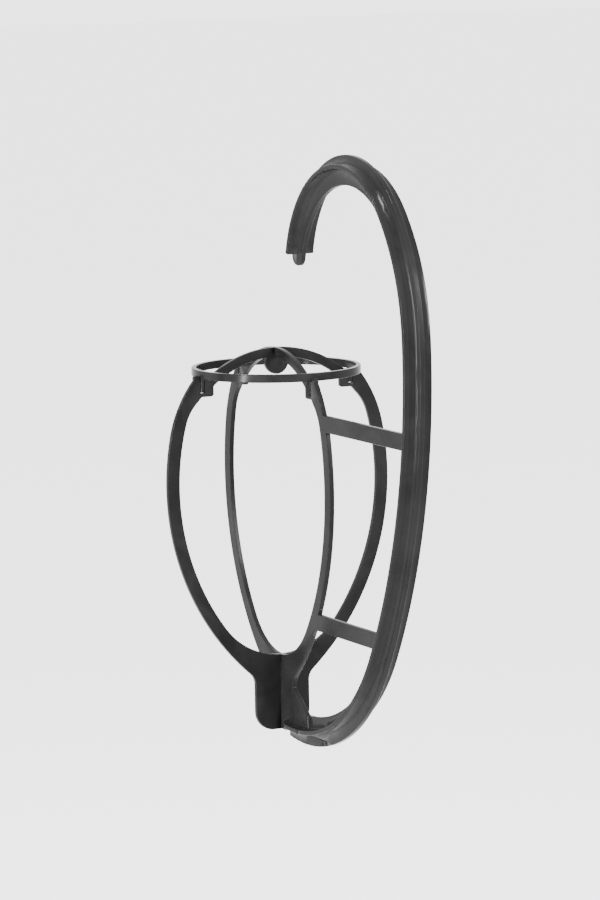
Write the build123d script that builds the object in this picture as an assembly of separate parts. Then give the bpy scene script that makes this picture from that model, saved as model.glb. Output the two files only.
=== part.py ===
"""Hanging wig stand: a hook that carries a ribbed cage, all moulded in black plastic.

The row's origin is the point under the crown of the hook that rests on a rail.
+Z is up, +X runs from the cage towards the hook's spine, and the hook lies in the XZ plane.
Outlines are drawn about the cage's own axis and moved to the row's origin at the end.
"""
import os
from math import cos, degrees, radians, sin, sqrt

from build123d import *

# ---------------------------------------------------------------- driving dimensions (mm)
PANEL_T = 3.4             # thickness of both cage frames
PLATE_T = 3.6             # thickness of the hook's plate
SPINE_W = 20.0            # width of the hook's stiffening rib, across the plate
SPINE_T = 3.2             # thickness of that rib
PANEL_EDGE_R = 0.5        # rounding of the moulded edges
HOOK_EDGE_R = 0.6
FIT = 0.15                # air on each side of a plugged or slotted joint

RING_OUTER_R = 58.0       # top ring
RING_WALL = 3.4
RING_H = 5.5
REST_Z = -13.5            # height of the seats that the ring rests on
RING_LIFT = 0.05          # air left between the ring and its seats

ARCH_TOP = 4.8            # crown of the arches over the ring
ARCH_R = 82.0             # radius of the arches' upper edge
ARCH_H = 6.6              # depth of the arch band

BLOCK_INNER = 47.8        # inner side of the blocks that carry the ring
BLOCK_H = 12.5            # height of those blocks
PRONG_H = 2.4             # height of the prong outside the ring
PRONG_EDGE = 0.8          # height of the prong's step beside the ring
PRONG_AIR = 0.4           # air between the prong and the ring
BLOCK_BEVEL = 1.2         # bevels at the blocks' corners
BLOCK_SET_IN = 3.1        # start of a block's underside, inside the rib's inner edge

TAB_R = 56.0              # middle radius of the ring's four tabs
TAB_RADIAL = 2.6
TAB_WIDE = 3.2
TAB_DROP = 9.5
POCKET_RADIAL = 3.4
POCKET_DROP = 9.9

HUB_R = 8.7               # disc under the crossing of the arches
HUB_Z = -5.0
HUB_MARK = (4.4, -2.7)    # round button on the disc, from the disc's centre
BLOCK_MARK = (1.9, 3.6)   # round dimple on a block, past the tab and over the underside

BLADE_HALF = 20.3         # half width of the foot blades
BLADE_BOTTOM = -260.0     # lowest point of the blades
BLADE_CORNER = 13.0
CROTCH_Z = -207.7         # lowest point of the cage's inside
GUSSET_TOP = (-228.0, -229.0)   # heights of the foot's web, at the axis and at the blade's side
GUSSET_END_X = 41.0       # where the web runs out on the arm
GUSSET_LOW_Z = -255.0
LAP_Z = -234.0            # height where the two blades meet half and half

STRAP_H = 11.3            # height of the two bridges between cage and hook
STRAP_Z = (-40.5, -177.3)
STRAP_GAP = 0.3           # air between a strap's shoulder and the hook
STRAP_ROOT = 4.0          # depth that a strap grows out of its rib
TONGUE_L = 6.5            # tongue at the end of each strap
TONGUE_T = 1.4
TONGUE_H = 7.0

SEAM_X = 45.0             # plane where the foot meets the hook
SEAM_GAP = 0.3
LAP_TURN = 14.6           # end of the foot's lap, as an angle round the arm's lowest arc
LAP_TOP_Z = -256.9
FOOT_TOP_Z = -225.0
PIP_R = 1.5               # round lock marks
PIP_H = 0.4
PIP_X = 67.0              # mark near the end of the foot's lap
PIP_Z = -259.6

# Centre line of the hook's rib from the foot round to the tip, as radii and turns
FOOT_HEADING = -9.5
RIB_START = (15.0, -252.5)
RIB_ARCS = [(137.0, 68.4), (378.0, 34.3), (130.0, 38.9), (79.0, 125.9)]
# Outer and inner edges of the hook's plate
OUTER_START = (14.5, -262.6)
OUTER_ARCS = [(142.3, 68.4), (397.9, 34.3), (127.4, 44.5), (86.5, 126.0)]
INNER_START = (17.1, -242.1)
INNER_ARCS = [(134.6, 68.4), (336.6, 34.3), (137.1, 38.9), (71.0, 128.3)]
TIP_R = 6.6               # rounding of the plate's free end
# Outer and inner edges of a cage rib, from the foot up to the shoulder
RIB_FOOT_Z = -227.6
RIB_OUTER_ARCS = [(10.0, -48.5), (177.6, 60.1), (86.1, 27.6)]
RIB_INNER_ARCS = [(52.0, 53.3), (165.7, 51.9), (32.3, 31.1)]

FAR = 400.0               # longer than the whole stand


# ---------------------------------------------------------------- outline tools
def arc_chain(start, heading, arcs):
    """Tangent arcs one after another; a positive turn goes to the left."""
    edges = []
    point = Vector(*start)
    for radius, turn in arcs:
        direction = (cos(radians(heading)), sin(radians(heading)))
        arc = JernArc(start=point, tangent=direction, radius=radius, arc_size=turn)
        edges.append(arc)
        point = arc @ 1
        heading += turn
    return edges


def hook_chain(start, arcs, left=0.0):
    """A chain along the hook, moved sideways to the left of its direction of travel."""
    x = start[0] - left * sin(radians(FOOT_HEADING))
    z = start[1] + left * cos(radians(FOOT_HEADING))
    return arc_chain((x, z), FOOT_HEADING, [(radius - left, turn) for radius, turn in arcs])


def closed_face(edges):
    """Face inside a chain of edges, with a straight line wherever two ends are apart."""
    border = []
    for edge, following in zip(edges, edges[1:] + edges[:1]):
        border.append(edge)
        if (edge @ 1 - following @ 0).length > 1e-4:
            border.append(Line(edge @ 1, following @ 0))
    return make_face(border)


def band_face(outside, inside, end_r):
    """Face between two chains that run the same way, with its far corners rounded."""
    end = Line(outside[-1] @ 1, inside[-1] @ 1)
    band = make_face([*outside, *inside, Line(outside[0] @ 0, inside[0] @ 0), end])
    corners = band.vertices().sort_by_distance(end @ 0.5)[:2]
    return fillet(corners, end_r) if end_r else band


def slab(plane, face, thickness):
    """A face on an upright plane, given its thickness to both sides."""
    return extrude(plane * face, amount=thickness / 2, both=True)


def soft_slab(plane, face, thickness, edge_r=PANEL_EDGE_R):
    """A slab with the edges of its two flat faces rounded."""
    solid = slab(plane, face, thickness)
    flats = [side for side in solid.faces() if abs(side.normal_at().dot(plane.z_dir)) > 0.99]
    return fillet([edge for side in flats for edge in side.edges()], edge_r)


def brick(x_range, y_range, z_range):
    """A box between two corners."""
    size = [high - low for low, high in (x_range, y_range, z_range)]
    middle = [(high + low) / 2 for low, high in (x_range, y_range, z_range)]
    return Pos(*middle) * Box(*size)


# ---------------------------------------------------------------- cage frames
def arch_height(radius, reach):
    """Height of an arch's edge at a distance from the cage's axis."""
    return ARCH_TOP - ARCH_R + sqrt(radius**2 - reach**2)


def arch_edge(radius, reach):
    """Half of an arch, from its foot at the stated reach up to the crown."""
    middle = reach / 2
    return ThreePointArc(
        (reach, arch_height(radius, reach)),
        (middle, arch_height(radius, middle)),
        (0, arch_height(radius, 0)),
    )


def loop_outside():
    """Half of a frame's outer outline, from the foot over the shoulder to the crown."""
    floor = Line((0, BLADE_BOTTOM), (BLADE_HALF - BLADE_CORNER, BLADE_BOTTOM))
    corner = JernArc(floor @ 1, (1, 0), BLADE_CORNER, 90)
    rib = arc_chain((BLADE_HALF, RIB_FOOT_Z), 90, RIB_OUTER_ARCS)
    shoulder = rib[-1] @ 1
    prong_in = RING_OUTER_R + PRONG_AIR
    prong_middle = ((shoulder.X + prong_in) / 2, REST_Z + PRONG_H)
    prong = ThreePointArc(shoulder, prong_middle, (prong_in, REST_Z + PRONG_EDGE))
    drop = ARCH_TOP - REST_Z
    reach = sqrt(ARCH_R**2 - (ARCH_R - drop) ** 2)
    seat = Line((prong_in, REST_Z), (reach, REST_Z))
    return closed_face([floor, corner, *rib, prong, seat, arch_edge(ARCH_R, reach)])


def loop_window():
    """Half of the opening inside a frame."""
    rib = arc_chain((0, CROTCH_Z), 0, RIB_INNER_ARCS)
    bottom = REST_Z - BLOCK_H
    reach = BLOCK_INNER - BLOCK_BEVEL
    arch = arch_edge(ARCH_R - ARCH_H, reach)
    foot = arch @ 0
    block = Polyline(
        ((rib[-1] @ 1).X - BLOCK_SET_IN, bottom),
        (BLOCK_INNER + BLOCK_BEVEL, bottom),
        (BLOCK_INNER, bottom + BLOCK_BEVEL),
        (BLOCK_INNER, foot.Y - BLOCK_BEVEL),
    )
    return closed_face([*rib, *block.edges(), arch])


def frame_solid(plane):
    """Either cage frame, made as a half with rounded edges and its mirror image."""
    half = slab(Plane.XZ, loop_outside() - loop_window(), PANEL_T)
    rims = half.edges().filter_by(lambda edge: abs((edge @ 0.5).Y) > PANEL_T / 2 - 0.01)
    rims = rims.filter_by(lambda edge: (edge @ 0.5).X > 0.01)
    half = fillet(rims, PANEL_EDGE_R)
    whole = half + mirror(half, about=Plane.YZ)
    turned = whole if plane == Plane.XZ else Rot(0, 0, 90) * whole
    return turned - pockets(plane)


def pockets(plane):
    """The two pockets of a frame that take the ring's tabs."""
    middle = REST_Z + (1.0 - POCKET_DROP) / 2
    cutter = Rectangle(POCKET_RADIAL, POCKET_DROP + 1.0)
    both = Pos(TAB_R, middle) * cutter + Pos(-TAB_R, middle) * cutter
    return slab(plane, both, PANEL_T * 2)


def upright_slot(plane, low, high):
    """A slot on the cage's axis that takes the other frame's thickness."""
    width = PANEL_T + 2 * FIT
    face = Pos(0, (low + high) / 2) * Rectangle(width, high - low)
    return slab(plane, face, PANEL_T * 2)


def round_mark(plane, x, z, depth):
    """A small round mark on a plane, as a raised button or as a cutter."""
    return extrude(plane * Pos(x, z) * Circle(PIP_R), amount=depth, both=True)


def cross_frame():
    """The frame that runs across the hook, slotted under the main frame's arch."""
    hub = Pos(0, HUB_Z) * Circle(HUB_R)
    body = frame_solid(Plane.YZ) + soft_slab(Plane.YZ, hub, PANEL_T)
    body -= upright_slot(Plane.YZ, ARCH_TOP - ARCH_H - FIT, FAR)
    body -= upright_slot(Plane.YZ, -FAR, LAP_Z + FIT)
    near_face = Plane.YZ.offset(PANEL_T / 2)
    body += round_mark(near_face, HUB_MARK[0], HUB_Z + HUB_MARK[1], PIP_H)
    dimple_x = TAB_R + BLOCK_MARK[0]
    dimple_z = REST_Z - BLOCK_H + BLOCK_MARK[1]
    return body - round_mark(near_face, dimple_x, dimple_z, PIP_H)


def foot_gusset():
    """Sloped web between the main blade and the arm that runs out to the hook."""
    arm_top = (hook_chain(INNER_START, INNER_ARCS)[0] @ 0.1).Y
    corners = Polyline(
        (0, GUSSET_TOP[0]),
        (BLADE_HALF, GUSSET_TOP[1]),
        (GUSSET_END_X, arm_top),
        (GUSSET_END_X, GUSSET_LOW_Z),
        (0, GUSSET_LOW_Z),
    )
    return make_face([*corners.edges(), Line(corners @ 1, corners @ 0)])


def crossings(face, z):
    """Places where a level line from the cage's axis enters and leaves a face."""
    level = Line((0, z), (FAR, z))
    return sorted(point.X for point in (level & face).vertices())


def strap(z_middle):
    """Flat bridge from inside a cage rib to the inner edge of the hook's plate."""
    root = crossings(loop_outside(), z_middle)[-1] - STRAP_ROOT
    end = crossings(plate_face(), z_middle)[0] + STRAP_ROOT
    bar = Pos((root + end) / 2, z_middle) * Rectangle(end - root, STRAP_H)
    return soft_slab(Plane.XZ, bar - plate_face(STRAP_GAP), PANEL_T)


def main_frame():
    """The frame in the hook's plane, with the two straps, the foot and its lap."""
    body = frame_solid(Plane.XZ)
    body += strap(STRAP_Z[0]) + strap(STRAP_Z[1])
    body += soft_slab(Plane.XZ, foot_gusset(), PANEL_T)
    body += hook_shape() & (foot_zone(0) + lap_zone(0))
    body -= upright_slot(Plane.XZ, LAP_Z - FIT, CROTCH_Z + 5)
    body += tongue(STRAP_Z[0], 0) + tongue(STRAP_Z[1], 0)
    return body - round_mark(Plane.XZ.offset(PLATE_T / 2), PIP_X, PIP_Z, PIP_H)


# ---------------------------------------------------------------- hook
def plate_face(grow=0.0):
    """The hook's flat plate; its inner edge can be grown towards the cage."""
    outer = hook_chain(OUTER_START, OUTER_ARCS)
    inner = hook_chain(INNER_START, INNER_ARCS, grow)
    return band_face(outer, inner, TIP_R)


def rib_solid():
    """The hook's stiffening rib, with a round nose where it starts under the cage."""
    half = SPINE_T / 2
    outside = hook_chain(RIB_START, RIB_ARCS, -half)
    inside = hook_chain(RIB_START, RIB_ARCS, half)
    rib = soft_slab(Plane.XZ, band_face(outside, inside, 0), SPINE_W, HOOK_EDGE_R)
    nose_r = SPINE_W / 2
    nose = Pos(RIB_START[0] + nose_r, 0, RIB_START[1]) * Cylinder(nose_r, 40)
    rest = brick((RIB_START[0] + nose_r, FAR), (-FAR, FAR), (-FAR, FAR))
    return rib & (nose + rest)


def hook_shape():
    """Plate and rib in one, from under the cage round to the tip."""
    return soft_slab(Plane.XZ, plate_face(), PLATE_T, HOOK_EDGE_R) + rib_solid()


def foot_zone(gap):
    """The space under the cage, up to the seam, where the arm belongs to the main frame."""
    return brick((-FAR, SEAM_X + gap), (-FAR, FAR), (-FAR, FOOT_TOP_Z))


def lap_zone(grow):
    """The space below the rib where the foot laps the hook on one half of its thickness."""
    below_rib = brick((SEAM_X - 1, FAR), (-FAR, grow - FIT), (-FAR, LAP_TOP_Z + grow))
    centre = hook_chain(OUTER_START, OUTER_ARCS)[0].arc_center
    turn = LAP_TURN + degrees(grow / OUTER_ARCS[0][0])
    near_end = Rot(0, -turn, 0) * brick((-FAR, 0), (-FAR, FAR), (-FAR, 0))
    return below_rib & Pos(centre.X, 0, centre.Y) * near_end


def tongue(z_middle, grow):
    """Thin tongue at the end of a strap, or its slot in the hook when grown."""
    root = crossings(plate_face(), z_middle)[0]
    length = (root - 8, root + TONGUE_L + grow)
    thick = TONGUE_T / 2 + grow
    tall = TONGUE_H / 2 + grow
    return brick(length, (-thick, thick), (z_middle - tall, z_middle + tall))


def hook():
    """The hook from the seam at the foot to the tip, with the sockets for the main frame."""
    body = hook_shape() - foot_zone(SEAM_GAP) - lap_zone(FIT)
    return body - tongue(STRAP_Z[0], FIT) - tongue(STRAP_Z[1], FIT)


# ---------------------------------------------------------------- ring
def top_ring():
    """Plain band with four tabs that drop into the pockets of the frames."""
    low = REST_Z + RING_LIFT
    band = Circle(RING_OUTER_R) - Circle(RING_OUTER_R - RING_WALL)
    ring = extrude(Pos(0, 0, low) * band, amount=RING_H)
    ring = fillet(ring.edges(), PANEL_EDGE_R)
    tab = Pos(TAB_R, 0, low - (TAB_DROP - 1) / 2) * Box(TAB_RADIAL, TAB_WIDE, TAB_DROP + 1)
    lead = tab.faces().sort_by(Axis.Z)[0].edges()
    tab = chamfer(lead, PANEL_EDGE_R)
    for quarter in range(4):
        ring += Rot(0, 0, 90 * quarter) * tab
    return ring


# ---------------------------------------------------------------- export
def seat_point():
    """Highest point of the plate's inner edge, where a rail carries the hook."""
    crown = hook_chain(INNER_START, INNER_ARCS)[-1]
    return crown.arc_center + Vector(0, INNER_ARCS[-1][0])


os.makedirs("parts", exist_ok=True)
seat = seat_point()
to_row = Pos(-seat.X, 0, -seat.Y)
export_step(to_row * hook(), "parts/hook.step")
export_step(to_row * main_frame(), "parts/main_frame.step")
export_step(to_row * cross_frame(), "parts/cross_frame.step")
export_step(to_row * top_ring(), "parts/top_ring.step")
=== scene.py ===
from math import cos, pi, radians, sin

import bmesh
import bpy
from mathutils import Matrix, Vector


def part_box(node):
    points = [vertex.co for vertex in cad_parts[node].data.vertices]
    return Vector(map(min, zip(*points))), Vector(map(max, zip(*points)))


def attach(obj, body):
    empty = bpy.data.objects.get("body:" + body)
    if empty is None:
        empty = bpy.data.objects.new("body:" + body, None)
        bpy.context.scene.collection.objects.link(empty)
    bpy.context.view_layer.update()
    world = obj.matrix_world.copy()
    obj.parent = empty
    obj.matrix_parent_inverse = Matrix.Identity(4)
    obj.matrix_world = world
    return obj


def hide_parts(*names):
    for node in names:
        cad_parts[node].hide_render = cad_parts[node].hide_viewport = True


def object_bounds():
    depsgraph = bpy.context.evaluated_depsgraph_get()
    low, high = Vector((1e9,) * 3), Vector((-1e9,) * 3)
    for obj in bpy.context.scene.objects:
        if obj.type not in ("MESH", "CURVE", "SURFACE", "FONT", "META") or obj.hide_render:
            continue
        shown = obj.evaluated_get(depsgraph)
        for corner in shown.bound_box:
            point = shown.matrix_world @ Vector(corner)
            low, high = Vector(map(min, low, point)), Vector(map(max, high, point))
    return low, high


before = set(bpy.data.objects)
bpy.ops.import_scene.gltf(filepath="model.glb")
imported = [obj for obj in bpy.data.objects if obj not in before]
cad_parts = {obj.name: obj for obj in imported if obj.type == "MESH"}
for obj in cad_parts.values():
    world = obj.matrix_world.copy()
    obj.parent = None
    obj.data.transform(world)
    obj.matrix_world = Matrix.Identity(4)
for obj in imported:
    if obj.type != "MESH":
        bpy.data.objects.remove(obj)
cad_low, cad_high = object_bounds()

# ---------------------------------------------------------------- hook
# A large hook with a plus-shaped section: a flat plate in the hook's plane and a stiffening
# rib across it. It is one injection moulding in glossy black plastic, from a polished mould,
# and takes the cage's two bridges in sockets and the end of its foot in a lap.
MM = 0.001
join_distance = 0.001 * MM      # corners closer than this are one corner
crisp_angle = 42                # degrees between faces that still meet in a crisp edge


def moulded_plastic(name, tone, roughness, flow_scale):
    """Glossy black plastic over a dark base, with marks from moulding and handling."""
    rough_gain = 0.07
    material = bpy.data.materials.new(name)
    material.use_nodes = True
    tree = material.node_tree
    link = tree.links.new
    shader = tree.nodes["Principled BSDF"]
    shader.inputs["Specular IOR Level"].default_value = 0.1
    shader.inputs["IOR"].default_value = 1.22
    place = tree.nodes.new("ShaderNodeTexCoord").outputs["Object"]

    # Flow marks: long soft clouds, where the plastic cooled as it filled the mould.
    flow = tree.nodes.new("ShaderNodeTexNoise")
    flow.inputs["Scale"].default_value = flow_scale
    flow.inputs["Detail"].default_value = 4.0
    flow.inputs["Distortion"].default_value = 1.2
    link(place, flow.inputs["Vector"])
    colour = tree.nodes.new("ShaderNodeValToRGB")
    dark, light = colour.color_ramp.elements
    dark.position = 0.3
    dark.color = (tone * 0.7, tone * 0.7, tone * 0.74, 1)
    light.position = 0.75
    light.color = (tone * 1.5, tone * 1.5, tone * 1.5, 1)
    link(flow.outputs["Fac"], colour.inputs["Fac"])
    link(colour.outputs["Color"], shader.inputs["Base Color"])

    # Rubbing: thin streaks from handling, a little less glossy than the rest.
    stretch = tree.nodes.new("ShaderNodeMapping")
    stretch.inputs["Rotation"].default_value = (0.3, 0.2, 0.5)
    stretch.inputs["Scale"].default_value = (900, 70, 260)
    link(place, stretch.inputs["Vector"])
    rubbing = tree.nodes.new("ShaderNodeTexNoise")
    rubbing.inputs["Scale"].default_value = 1.0
    rubbing.inputs["Detail"].default_value = 3.0
    link(stretch.outputs["Vector"], rubbing.inputs["Vector"])
    streaks = tree.nodes.new("ShaderNodeMapRange")
    streaks.inputs["From Min"].default_value = 0.56
    streaks.inputs["From Max"].default_value = 0.75
    streaks.inputs["To Max"].default_value = rough_gain
    link(rubbing.outputs["Fac"], streaks.inputs["Value"])
    cloud = tree.nodes.new("ShaderNodeMapRange")
    cloud.inputs["To Min"].default_value = roughness
    cloud.inputs["To Max"].default_value = roughness + rough_gain
    link(flow.outputs["Fac"], cloud.inputs["Value"])
    total = tree.nodes.new("ShaderNodeMath")
    link(streaks.outputs["Result"], total.inputs[0])
    link(cloud.outputs["Result"], total.inputs[1])
    link(total.outputs["Value"], shader.inputs["Roughness"])

    # Orange peel: very shallow waves, two or three millimetres long.
    peel = tree.nodes.new("ShaderNodeTexNoise")
    peel.inputs["Scale"].default_value = 380.0
    peel.inputs["Detail"].default_value = 1.5
    link(place, peel.inputs["Vector"])
    bump = tree.nodes.new("ShaderNodeBump")
    bump.inputs["Strength"].default_value = 0.12
    bump.inputs["Distance"].default_value = 0.06 * MM
    link(peel.outputs["Fac"], bump.inputs["Height"])
    link(bump.outputs["Normal"], shader.inputs["Normal"])
    return material


def shade_smooth(mesh, angle):
    """Smooth shading, apart from edges that turn by more than an angle in degrees."""
    mesh.polygons.foreach_set("use_smooth", [True] * len(mesh.polygons))
    mesh.set_sharp_from_angle(angle=radians(angle))


def add_object(name, data):
    """A new object at the origin, linked to the scene."""
    item = bpy.data.objects.new(name, data)
    bpy.context.scene.collection.objects.link(item)
    return item


def plain_mesh(source):
    """The mesh that an object with a modifier ends up with."""
    view = bpy.context.evaluated_depsgraph_get()
    return bpy.data.meshes.new_from_object(source.evaluated_get(view), depsgraph=view)


def skin(node, material, body):
    """A moulding's own faces joined into one skin, with even shading over its roundings."""
    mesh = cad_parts[node].data.copy()
    joined = bmesh.new()
    joined.from_mesh(mesh)
    bmesh.ops.remove_doubles(joined, verts=joined.verts, dist=join_distance)
    joined.to_mesh(mesh)
    joined.free()
    shade_smooth(mesh, crisp_angle)
    draft = add_object(node + "_draft", mesh)
    even = draft.modifiers.new("even", "WEIGHTED_NORMAL")
    even.keep_sharp = True
    even.weight = 100           # the large flat faces decide the shading
    smooth = plain_mesh(draft)
    bpy.data.objects.remove(draft)
    smooth.name = node + "_skin"
    smooth.materials.clear()
    smooth.materials.append(material)
    piece = add_object(node + "_skin", smooth)
    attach(piece, body)
    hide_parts(node)


hook_plastic = moulded_plastic("hook_plastic", tone=0.0045, roughness=0.17, flow_scale=14.0)
skin("hook", hook_plastic, "hook")

# ---------------------------------------------------------------- cage frames
# Two flat frames of the same outline, slotted into each other at the top and at the foot.
# Each is one moulding in the same black plastic, a touch less glossy than the hook.
frame_plastic = moulded_plastic("frame_plastic", tone=0.004, roughness=0.20, flow_scale=22.0)
skin("main_frame", frame_plastic, "cage")
skin("cross_frame", frame_plastic, "cage")

# ---------------------------------------------------------------- top ring
# A plain moulded band with four tabs that drop into pockets in the frames' shoulders. It is
# thin and cools fast, so its flow marks are finer, and its gloss is the highest of the four.
ring_plastic = moulded_plastic("ring_plastic", tone=0.0045, roughness=0.16, flow_scale=40.0)
skin("top_ring", ring_plastic, "ring")

# ---------------------------------------------------------------- root radii of the hook
# Where the rib grows out of the plate the mould has a small inside radius, one in each of
# the four corners of the plus section, from the foot to the tip. It is part of the moulding:
# of the main frame as far as the seam in the arm, and of the hook beyond it.
# Outlines are in mm: x from the cage's axis, z from a datum above the ring.
ring_top_z = -7.95
ring_low, ring_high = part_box("top_ring")
axis_x = (ring_low.x + ring_high.x) / 2
datum_z = ring_high.z - ring_top_z * MM

arm_heading = -9.5              # direction in which the arm leaves the foot, in degrees
arm_below_z = -200.0            # everything on the arm is lower than this
seam_x = 45.0
seam_air = 0.3
rib_start = (15.0, -252.5)
rib_arcs = [(137.0, 68.4), (378.0, 34.3), (130.0, 38.9), (79.0, 125.3)]
rib_half, plate_half = 1.6, 1.8     # half thicknesses
root_r = 0.9
root_bury = 0.3                 # depth that a root radius is sunk into the moulding
root_steps = 6                  # flats round the hollow arc
nose_points = 2                 # points of the rib's line that its round nose takes
arc_step = 1.5                  # degrees between the points of an arc


def arc_points(start, heading, arcs):
    """Points along tangent arcs, from a start, a heading, and each arc's radius and turn."""
    x, z = start
    points = [(x, z)]
    for radius, turn in arcs:
        centre_x = x - radius * sin(radians(heading))
        centre_z = z + radius * cos(radians(heading))
        count = max(4, round(turn / arc_step))
        for index in range(1, count + 1):
            way = radians(heading + turn * index / count)
            x = centre_x + radius * sin(way)
            z = centre_z - radius * cos(way)
            points.append((x, z))
        heading += turn
    return points


def past_seam(points, air):
    """The points that lie on the hook, with some air after the seam in the arm."""
    return [(x, z) for x, z in points if x > seam_x + air or z > arm_below_z]


def in_hook_plane(points, aside=0.0):
    """Outline points put in the hook's plane, or in a plane beside it."""
    return [(axis_x + x * MM, aside * MM, datum_z + z * MM) for x, z in points]


def path_object(name, runs):
    """Curve object with one polyline for each list of places."""
    line = bpy.data.curves.new(name, "CURVE")
    line.dimensions = "3D"
    for run in runs:
        spline = line.splines.new("POLY")
        spline.points.add(len(run) - 1)
        for point, place in zip(spline.points, run):
            point.co = (*place, 1)
    return add_object(name, line)


def section_object(name, outlines):
    """Closed outlines that a sweep carries along its path."""
    section = path_object(name, [[(x * MM, y * MM, 0) for x, y in shape] for shape in outlines])
    for spline in section.data.splines:
        spline.use_cyclic_u = True
    return section


def open_tree(name, inputs):
    """Node tree that takes a geometry, the named inputs and a plastic."""
    tree = bpy.data.node_groups.new(name, "GeometryNodeTree")
    for label, kind in [("Geometry", "Geometry"), *inputs, ("Plastic", "Material")]:
        tree.interface.new_socket(label, in_out="INPUT", socket_type="NodeSocket" + kind)
    tree.interface.new_socket("Geometry", in_out="OUTPUT", socket_type="NodeSocketGeometry")
    return tree, tree.nodes.new("NodeGroupInput")


def close_tree(tree, start, grown):
    """Make the grown geometry real, give it the plastic and send it out of the tree."""
    real = tree.nodes.new("GeometryNodeRealizeInstances")
    dress = tree.nodes.new("GeometryNodeSetMaterial")
    end = tree.nodes.new("NodeGroupOutput")
    tree.links.new(grown, real.inputs["Geometry"])
    tree.links.new(real.outputs["Geometry"], dress.inputs["Geometry"])
    tree.links.new(start.outputs["Plastic"], dress.inputs["Material"])
    tree.links.new(dress.outputs["Geometry"], end.inputs["Geometry"])
    return tree


def sweep_tree():
    """Node tree: carries a section along every line of the object it is put on."""
    tree, start = open_tree("moulded_sweep", [("Section", "Object")])
    section = tree.nodes.new("GeometryNodeObjectInfo")
    carry = tree.nodes.new("GeometryNodeCurveToMesh")
    carry.inputs["Fill Caps"].default_value = True
    tree.links.new(start.outputs["Section"], section.inputs["Object"])
    tree.links.new(start.outputs["Geometry"], carry.inputs["Curve"])
    tree.links.new(section.outputs["Geometry"], carry.inputs["Profile Curve"])
    return close_tree(tree, start, carry.outputs["Mesh"])


def grown_piece(name, seed, tree, values, body, smooth_angle=40):
    """Run a node tree on a seed object and keep the result as a plain mesh on a body."""
    modifier = seed.modifiers.new("grow", "NODES")
    modifier.node_group = tree
    for item in tree.interface.items_tree:
        if item.in_out == "INPUT" and item.name in values:
            modifier[item.identifier] = values[item.name]
    mesh = plain_mesh(seed)
    mesh.name = name
    shade_smooth(mesh, smooth_angle)
    piece = add_object(name, mesh)
    bpy.data.objects.remove(seed)
    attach(piece, body)


def root_outline(side, way):
    """Section of one root radius: two flats against the moulding and a hollow arc."""
    corner = (side * (plate_half - root_bury), way * (rib_half - root_bury))
    hollow = []
    for step in range(root_steps + 1):
        turn = radians(270 - 90 * step / root_steps)
        across = plate_half + root_r * (1 + cos(turn))
        along = rib_half + root_r * (1 + sin(turn))
        hollow.append((side * across, way * along))
    first = (side * (plate_half + root_r), way * (rib_half - root_bury))
    last = (side * (plate_half - root_bury), way * (rib_half + root_r))
    return [corner, first, *hollow, last]


sweep = sweep_tree()
four_corners = [root_outline(side, way) for side in (-1, 1) for way in (-1, 1)]
root_section = section_object("root_section", four_corners)
root_settings = {"Section": root_section, "Plastic": hook_plastic}
rib_line = arc_points(rib_start, arm_heading, rib_arcs)
hook_rib = past_seam(rib_line, seam_air)
foot_rib = [(x, z) for x, z in rib_line if x < seam_x and z < arm_below_z][nose_points:]
seed = path_object("hook_roots_path", [in_hook_plane(hook_rib)])
grown_piece("hook_roots", seed, sweep, root_settings, "hook")
seed = path_object("foot_roots_path", [in_hook_plane(foot_rib)])
grown_piece("foot_roots", seed, sweep, root_settings, "cage")
bpy.data.objects.remove(root_section)

# ---------------------------------------------------------------- parting lines
# The halves of the hook's mould meet at mid thickness, and leave a hair of raised plastic
# there, of one piece with it: along the plate's inner edge and along both sides of the rib.
bead_r = 0.16
bead_sides = 8
bead_air = 0.6                  # between the seam in the arm and the plate's line
spine_half = 10.0               # half width of the rib
edge_start = (17.1, -242.1)
edge_arcs = [(134.6, 68.4), (336.6, 34.3), (137.1, 38.9), (71.0, 119.0)]


def bead_outline(across):
    """Round section of the raised hair, half of it sunk in the moulding."""
    turns = [2 * pi * step / bead_sides for step in range(bead_sides)]
    return [(across + bead_r * cos(turn), bead_r * sin(turn)) for turn in turns]


one_bead = section_object("bead_section", [bead_outline(0.0)])
two_beads = section_object("two_bead_section", [bead_outline(-spine_half), bead_outline(spine_half)])
edge_line = past_seam(arc_points(edge_start, arm_heading, edge_arcs), bead_air)
for name, line, section in (("hook_parting", edge_line, one_bead), ("rib_parting", hook_rib, two_beads)):
    seed = path_object(name + "_path", [in_hook_plane(line)])
    settings = {"Section": section, "Plastic": hook_plastic}
    grown_piece(name, seed, sweep, settings, "hook")
    bpy.data.objects.remove(section)

# ---------------------------------------------------------------- ejector marks
# Round pins push each moulding out of its mould and leave shallow round marks in it with a
# fine lip: a row on the far face of the hook's plate and rows on those of the cage ribs.
pin_r = 1.7
pin_h = 0.02                    # height of the pin's flat print
lip_r, lip_h = 0.16, 0.10
mark_bury = 0.2
mark_sides = 24
panel_half = 1.7                # half thickness of the cage frames
hook_mark_count, rib_mark_count = 17, 7
hook_mark_air = 39.0            # from the seam in the arm to the hook's first mark
hook_row_start = (14.8, -257.6)
hook_row_arcs = [(139.7, 68.4), (388.0, 34.3), (128.7, 41.7), (82.7, 112.0)]
rib_row_start, rib_row_heading = (21.0, -217.1), 41.5
rib_row_arcs = [(173.6, 60.1), (82.1, 22.0)]


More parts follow.
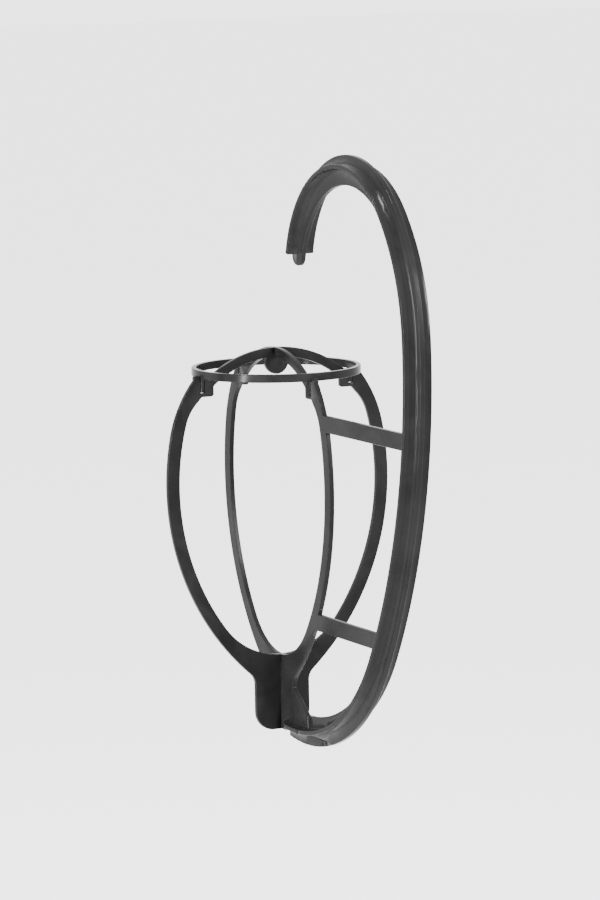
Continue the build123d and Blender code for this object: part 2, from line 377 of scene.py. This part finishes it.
def mark_mesh():
    """One mark: a flat disc with a rounded lip, its outline turned about its own axis."""
    rows = [
        (pin_r - 2 * lip_r, pin_h),
        (pin_r - lip_r, lip_h),
        (pin_r - lip_r * 0.4, lip_h * 0.85),
        (pin_r, 0.0),
        (pin_r, -mark_bury),
    ]
    points = [(0, 0, pin_h * MM), (0, 0, -mark_bury * MM)]
    for radius, height in rows:
        for side in range(mark_sides):
            turn = 2 * pi * side / mark_sides
            points.append((radius * cos(turn) * MM, radius * sin(turn) * MM, height * MM))
    first_row = 2                       # the two middle points come before it
    last_row = first_row + (len(rows) - 1) * mark_sides
    faces = []
    for side in range(mark_sides):
        after = (side + 1) % mark_sides
        faces.append((0, first_row + side, first_row + after))
        for near in range(first_row, last_row, mark_sides):
            far = near + mark_sides
            faces.append((near + side, far + side, far + after, near + after))
        faces.append((1, last_row + after, last_row + side))
    mesh = bpy.data.meshes.new("mark")
    mesh.from_pydata(points, [], faces)
    return mesh


def mark_tree():
    """Node tree: sets a mark at even steps along every line of the object it is put on."""
    inputs = [("Mark", "Object"), ("Count", "Int"), ("Turn", "Vector")]
    tree, start = open_tree("ejector_marks", inputs)
    steps = tree.nodes.new("GeometryNodeCurveToPoints")
    shape = tree.nodes.new("GeometryNodeObjectInfo")
    put = tree.nodes.new("GeometryNodeInstanceOnPoints")
    tree.links.new(start.outputs["Geometry"], steps.inputs["Curve"])
    tree.links.new(start.outputs["Count"], steps.inputs["Count"])
    tree.links.new(start.outputs["Mark"], shape.inputs["Object"])
    tree.links.new(steps.outputs["Points"], put.inputs["Points"])
    tree.links.new(shape.outputs["Geometry"], put.inputs["Instance"])
    tree.links.new(start.outputs["Turn"], put.inputs["Rotation"])
    return close_tree(tree, start, put.outputs["Instances"])


mark = add_object("mark", mark_mesh())
marks = mark_tree()
facing_away, facing_left = (-pi / 2, 0, 0), (0, -pi / 2, 0)

hook_row = past_seam(arc_points(hook_row_start, arm_heading, hook_row_arcs), hook_mark_air)
rib_row = arc_points(rib_row_start, rib_row_heading, rib_row_arcs)
both_ribs = [[(side * x, z) for x, z in rib_row] for side in (-1, 1)]
face_x = axis_x - panel_half * MM
rows_main = [in_hook_plane(row, panel_half) for row in both_ribs]
rows_cross = [[(face_x, x * MM, datum_z + z * MM) for x, z in row] for row in both_ribs]
for name, rows, turn, count, plastic, body in (
    ("hook", [in_hook_plane(hook_row, plate_half)], facing_away, hook_mark_count, hook_plastic, "hook"),
    ("main", rows_main, facing_away, rib_mark_count, frame_plastic, "cage"),
    ("cross", rows_cross, facing_left, rib_mark_count, frame_plastic, "cage"),
):
    seed = path_object(name + "_mark_path", rows)
    settings = {"Mark": mark, "Count": count, "Turn": turn, "Plastic": plastic}
    grown_piece(name + "_marks", seed, marks, settings, body, smooth_angle=60)
bpy.data.objects.remove(mark)

# ---------------------------------------------------------------- studio
# A plain pale floor well below the hanging stand, in an evenly bright white room. Three
# narrow soft boxes draw lines of light along the rounded edges.
floor_drop = 0.9
floor_size = 80
floor_grey = 0.95
room_strength = 3.2

bpy.ops.mesh.primitive_plane_add(size=floor_size, location=(0, 0, cad_low.z - floor_drop))
floor = bpy.context.object
floor.name = "studio_floor"
pale = bpy.data.materials.new("pale_floor")
pale.use_nodes = True
pale_shader = pale.node_tree.nodes["Principled BSDF"]
pale_shader.inputs["Base Color"].default_value = (floor_grey, floor_grey, floor_grey, 1)
pale_shader.inputs["Roughness"].default_value = 1.0
floor.data.materials.append(pale)

room = bpy.data.worlds.new("studio")
room.use_nodes = True
room.node_tree.nodes["Background"].inputs["Color"].default_value = (1, 1, 1, 1)
room.node_tree.nodes["Background"].inputs["Strength"].default_value = room_strength
bpy.context.scene.world = room


def soft_box(name, place, size, watts):
    """A soft light with a rectangular front, facing the middle of the stand."""
    light = bpy.data.lights.new(name, "AREA")
    light.shape = "RECTANGLE"
    light.size, light.size_y = size
    light.energy = watts
    towards = (cad_low + cad_high) / 2 - Vector(place)
    lamp = add_object(name, light)
    lamp.location = place
    lamp.rotation_euler = towards.to_track_quat("-Z", "Y").to_euler()


soft_box("left_strip", place=(0.7, -2.2, 0.0), size=(0.05, 1.6), watts=420)
soft_box("right_box", place=(1.7, 1.25, 0.55), size=(0.08, 0.9), watts=220)
soft_box("top_box", place=(0.3, -0.3, 2.2), size=(0.12, 0.6), watts=170)

# ---------------------------------------------------------------- camera
# A long lens from the front right, a little above the middle of the stand, which it looks
# down on slightly. Its place is in metres, and its two axes say how it is turned.
camera_place = (2.56937, -1.28274, 0.20081)
to_right = Vector((0.43784, 0.89888, -0.01740))
to_top = Vector((-0.10899, 0.07228, 0.99141))

lens = bpy.data.cameras.new("camera")
lens.lens = 175.2
lens.sensor_width = 36.0
lens.clip_end = 200.0
camera = add_object("camera", lens)
turned = Matrix((to_right, to_top, to_right.cross(to_top))).transposed().to_4x4()
camera.matrix_world = Matrix.Translation(camera_place) @ turned
bpy.context.scene.camera = camera
